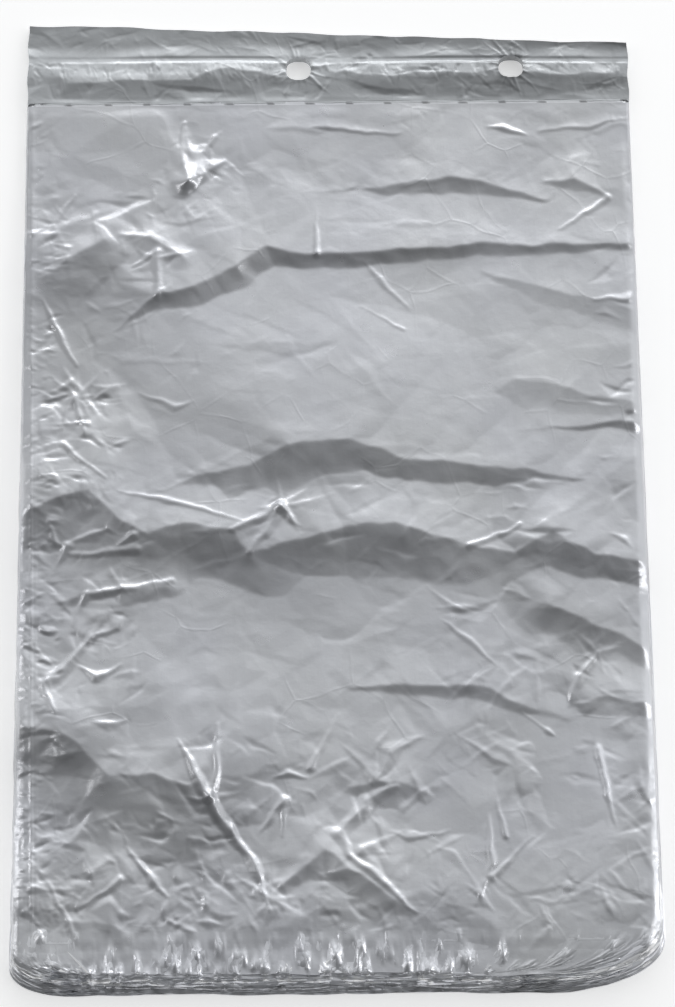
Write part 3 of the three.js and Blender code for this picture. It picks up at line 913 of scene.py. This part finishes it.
def build_header(material):
    """The fused header strips. The mesh's points next to a hole are moved onto its edge."""
    columns, rows = HEADER_CELLS
    share, t = share_grid(columns, rows)
    foot = HINGE_Y + 0.05
    x = LEFT + WIDTH * share + 0 * t
    y = header_top(x) + (foot - header_top(x)) * t
    x = x + 0.35 * np.sin(y / 3.1) * np.where(share < 0.5, 1 - 2 * share, 2 * share - 1) ** 40
    centre = hole_distance((x[1:, 1:] + x[:-1, :-1]) / 2, (y[1:, 1:] + y[:-1, :-1]) / 2)
    keep = centre > 1
    hole = hole_distance(x, y)
    rim = cell_points(~keep) & cell_points(keep)
    x0 = np.where(x < 0, -HOLE_X, HOLE_X)
    x = np.where(rim, x0 + (x - x0) / hole, x)
    y = np.where(rim, y / hole, y)
    relief = sample(header_relief(rng), x, y)
    weld = np.exp(-((y - weld_y(x)) / WELD_HALF) ** 4)
    above = smooth((y - weld_y(x) - WELD_HALF) / 8)
    ease = smooth((y - foot) / 3)
    droop = 0.4 * above + 0.4 * above * np.sin(x / 11)
    high = HEADER_Z + relief * ease * (1 - 0.6 * weld) - 0.12 * weld - droop
    high = np.maximum(high, 1.5)
    lifted = 0.15 + 0.6 * above * (1 + np.sin(x / 9)) / 2
    below = smooth((weld_y(x) - 8 - y) / 3) * smooth((y - foot) / 5)
    tone = 0.98 + 0.22 * weld - 0.36 * above * (1 - weld) - 0.2 * below
    tone = tone - 0.22 * smooth((across(x) - 0.35) / 0.5)
    tone = tone - 0.18 * smooth((1.35 - hole) / 0.3)
    header = slab(
        "header", x, y, lifted, high, keep, tone, rings=HEADER_EDGE_RINGS, fray=HEADER_EDGE_FRAY
    )
    finished(header, material, "header_block")
    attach(header, "header")


def build_tear_strip(material):
    """The perforated film between the header and the front bag."""
    columns, rows = STRIP_CELLS
    share, t = share_grid(columns, rows)
    x = LEFT + 0.3 + (WIDTH - 0.6) * share + 0 * t
    y = HINGE_Y + (STRIP_FOOT - HINGE_Y) * t + 0 * x
    y = y + 0.12 * np.sin(x / 1.9) * smooth(3 * t - 2)
    middle = (x[:-1, 1:] + x[:-1, :-1]) / 2
    keep = np.ones((rows, columns), bool)
    keep[3:7] = cut_phase(middle)[3:7] > CUT_LENGTH
    keep[:, 0] = keep[:, -1] = True
    high = STRIP_HIGH + 0.1 * np.sin(x / 7) + 0 * t
    tone = 1.05 + 0 * x
    strip = slab("tear_strip", x, y, STRIP_LOW + 0 * x, high, keep, tone, rings=1, fray=0)
    finished(strip, material, "front_tear_strip")
    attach(strip, "front_tear_strip")


# ---- Materials ----

HAIRLINE_WIDTH = 0.001  # metres, from a crease's ridge to its foot


def film_material(name, tints, crackle, haze_range):
    """Glossy film. tints are its two colours; crackle is the depth of its finest creases, or 0
    for film that only shows its edges."""
    material = bpy.data.materials.new(name)
    material.use_nodes = True
    nodes, links = material.node_tree.nodes, material.node_tree.links
    shader = nodes["Principled BSDF"]
    place = nodes.new("ShaderNodeTexCoord").outputs["Object"]

    def texture(kind, scale, stretch=(1, 1, 1), at=place, **inputs):
        mapping = nodes.new("ShaderNodeMapping")
        mapping.inputs["Scale"].default_value = stretch
        links.new(at, mapping.inputs["Vector"])
        node = nodes.new(kind)
        node.inputs["Scale"].default_value = scale
        for key, value in inputs.items():
            node.inputs[key].default_value = value
        links.new(mapping.outputs["Vector"], node.inputs["Vector"])
        return node

    def ranged(value, low, high, start, end):
        node = nodes.new("ShaderNodeMapRange")
        links.new(value, node.inputs["Value"])
        ends = {"From Min": low, "From Max": high, "To Min": start, "To Max": end}
        for key, number in ends.items():
            node.inputs[key].default_value = number
        return node.outputs["Result"]

    def hairlines(scale):
        """Thin lines where random cells meet, bent and broken up by noise."""
        bend = texture("ShaderNodeTexNoise", scale * 0.6, Detail=2)
        moved = nodes.new("ShaderNodeVectorMath")
        moved.operation = "MULTIPLY_ADD"
        links.new(bend.outputs["Color"], moved.inputs[0])
        moved.inputs[1].default_value = (0.7 / scale, 0.7 / scale, 0)
        links.new(place, moved.inputs[2])
        cells = texture("ShaderNodeTexVoronoi", scale, (1, 1, 0), moved.outputs["Vector"])
        cells.feature = "DISTANCE_TO_EDGE"
        ridge = ranged(cells.outputs["Distance"], 0, HAIRLINE_WIDTH * scale, 1, 0)
        breaks = texture("ShaderNodeTexNoise", scale * 0.9, Detail=1)
        mask = ranged(breaks.outputs["Fac"], 0.5, 0.62, 0, 1)
        height = nodes.new("ShaderNodeMath")
        height.operation = "MULTIPLY"
        links.new(ridge, height.inputs[0])
        links.new(mask, height.inputs[1])
        return height.outputs["Value"]

    def bump(height, distance, before):
        node = nodes.new("ShaderNodeBump")
        node.inputs["Strength"].default_value = 1
        node.inputs["Distance"].default_value = distance
        links.new(height, node.inputs["Height"])
        if before is not None:
            links.new(before, node.inputs["Normal"])
        return node.outputs["Normal"]

    def mix(share, low, high):
        node = nodes.new("ShaderNodeMix")
        node.data_type = "RGBA"
        links.new(share, node.inputs["Factor"])
        node.inputs["A"].default_value = (*low, 1)
        node.inputs["B"].default_value = (*high, 1)
        return node.outputs["Result"]

    patches = texture("ShaderNodeTexNoise", 16, Detail=3)
    colour = mix(patches.outputs["Fac"], *tints)
    # the tone attribute carries painted shade and painted light, besides each bag's own tone
    tone = nodes.new("ShaderNodeAttribute")
    tone.attribute_name = "tone"
    dim = nodes.new("ShaderNodeVectorMath")
    dim.operation = "MULTIPLY"
    links.new(colour, dim.inputs[0])
    links.new(tone.outputs["Fac"], dim.inputs[1])
    links.new(dim.outputs["Vector"], shader.inputs["Base Color"])
    shader.inputs["Metallic"].default_value = 0.72
    shader.inputs["Coat Weight"].default_value = 0.5
    shader.inputs["Coat Roughness"].default_value = 0.08
    if crackle == 0:
        shader.inputs["Roughness"].default_value = sum(haze_range) / 2
        return material

    haze = texture("ShaderNodeTexNoise", 70, Detail=4)
    links.new(ranged(haze.outputs["Fac"], 0, 1, *haze_range), shader.inputs["Roughness"])

    cells = texture("ShaderNodeTexVoronoi", 62, (1, 0.8, 0))
    cells.feature = "F2"
    fine = texture("ShaderNodeTexNoise", 240, (1, 1, 0), Detail=5, Roughness=0.6)
    streaks = texture("ShaderNodeTexNoise", 300, (1, 0.04, 0), Detail=2)
    normal = bump(streaks.outputs["Fac"], 0.00004, None)
    normal = bump(cells.outputs["Distance"], crackle, normal)
    normal = bump(fine.outputs["Fac"], crackle * 0.5, normal)
    normal = bump(hairlines(34), crackle * 0.3, normal)
    links.new(normal, shader.inputs["Normal"])
    links.new(normal, shader.inputs["Coat Normal"])
    return material


# ---- Stage ----

# Brightness of the surroundings by direction, from the viewer's side (-1) to the far side (1).
SKY = [(-1.0, 0.16), (-0.6, 0.13), (-0.3, 0.16), (0.0, 0.26), (0.2, 0.42), (0.37, 0.56),
       (0.6, 0.8), (0.85, 1.15), (1.0, 1.25)]
SKY_STRENGTH = 1.25
SKY_SIDE = 0.35  # how much brighter the right side is than the left one, as a share


def area_light(name, place, target, size, power):
    """A rectangular lamp at a place, in metres, that faces a target."""
    data = bpy.data.lights.new(name, "AREA")
    data.shape = "RECTANGLE"
    data.size, data.size_y = size
    data.energy = power
    light = bpy.data.objects.new(name, data)
    light.location = place
    bpy.context.scene.collection.objects.link(light)
    light.rotation_euler = (Vector(target) - Vector(place)).to_track_quat("-Z", "Y").to_euler()


def build_world():
    """Soft surroundings that brighten towards the far side, and a little to the right."""
    world = bpy.data.worlds.new("studio")
    bpy.context.scene.world = world
    world.use_nodes = True
    nodes, links = world.node_tree.nodes, world.node_tree.links
    axes = nodes.new("ShaderNodeSeparateXYZ")
    links.new(nodes.new("ShaderNodeTexCoord").outputs["Generated"], axes.inputs[0])
    share = nodes.new("ShaderNodeMapRange")
    share.inputs["From Min"].default_value = -1
    links.new(axes.outputs["Y"], share.inputs["Value"])
    ramp = nodes.new("ShaderNodeValToRGB")
    links.new(share.outputs["Result"], ramp.inputs["Fac"])
    stops = ramp.color_ramp.elements
    while len(stops) < len(SKY):
        stops.new(0.5)
    for stop, (y, value) in zip(stops, SKY):
        stop.position = (y + 1) / 2
        level = value / SKY_STRENGTH
        stop.color = (level * 0.975, level * 0.99, level, 1)
    side = nodes.new("ShaderNodeMath")
    side.operation = "MULTIPLY_ADD"
    links.new(axes.outputs["X"], side.inputs[0])
    side.inputs[1].default_value = SKY_STRENGTH * SKY_SIDE
    side.inputs[2].default_value = SKY_STRENGTH
    background = nodes["Background"]
    links.new(ramp.outputs["Color"], background.inputs["Color"])
    links.new(side.outputs["Value"], background.inputs["Strength"])


def build_stage():
    """A pale floor, three lamps and the surroundings."""
    bpy.ops.mesh.primitive_plane_add(size=8, location=(0, 0, -0.0002))
    floor = bpy.context.object
    floor.name = "floor"
    material = bpy.data.materials.new("floor")
    material.use_nodes = True
    shader = material.node_tree.nodes["Principled BSDF"]
    shader.inputs["Base Color"].default_value = (0.93, 0.93, 0.93, 1)
    shader.inputs["Roughness"].default_value = 0.9
    shader.inputs["Specular IOR Level"].default_value = 0.1
    shader.inputs["Emission Color"].default_value = (1, 1, 1, 1)
    shader.inputs["Emission Strength"].default_value = 0.42
    floor.data.materials.append(material)
    area_light("window", (0.3, 1.7, 0.9), (0, -0.2, 0), (2.4, 0.5), 9)
    area_light("right_strip", (1.6, -0.1, 0.8), (0, -0.2, 0), (0.25, 1.6), 5)
    area_light("left_strip", (-1.6, 0.1, 0.9), (0, -0.2, 0), (0.2, 1.6), 3)
    build_world()


CAMERA_ELEVATION = 68.0
CAMERA_DISTANCE = 2226.0
CAMERA_TARGET = (-35.8, -239.9, 8.0)
CAMERA_ROLL = -0.44
SENSOR_HEIGHT = 36.0
LENS = 162.913


def build_camera():
    """A long lens above the pad's lower end. Angles are in degrees."""
    data = bpy.data.cameras.new("camera")
    data.sensor_fit = "VERTICAL"
    data.sensor_height = SENSOR_HEIGHT
    data.lens = LENS
    data.clip_end = 20
    camera = bpy.data.objects.new("camera", data)
    bpy.context.scene.collection.objects.link(camera)
    e = math.radians(CAMERA_ELEVATION)
    toward = Vector((0, -math.cos(e), math.sin(e)))
    target = Vector(CAMERA_TARGET) * MM
    spin = Matrix.Rotation(math.radians(CAMERA_ROLL), 4, "Z")
    tilt = Matrix.Rotation(math.radians(90 - CAMERA_ELEVATION), 4, "X")
    camera.matrix_world = Matrix.Translation(target + toward * CAMERA_DISTANCE * MM) @ tilt @ spin
    bpy.context.scene.camera = camera


build_stage()
build_camera()
bpy.context.scene.view_settings.view_transform = "Standard"
bag_tints = ((0.6, 0.61, 0.66), (0.66, 0.67, 0.68))
header_tints = ((0.5, 0.52, 0.54), (0.66, 0.68, 0.7))
bag_film = film_material("bag_film", bag_tints, 0.00018, (0.22, 0.4))
pressed_film = film_material("pressed_film", bag_tints, 0, (0.22, 0.4))
header_film = film_material("header_film", header_tints, 0.0002, (0.32, 0.52))
build_pile(bag_film, pressed_film)
build_header(header_film)
build_tear_strip(header_film)
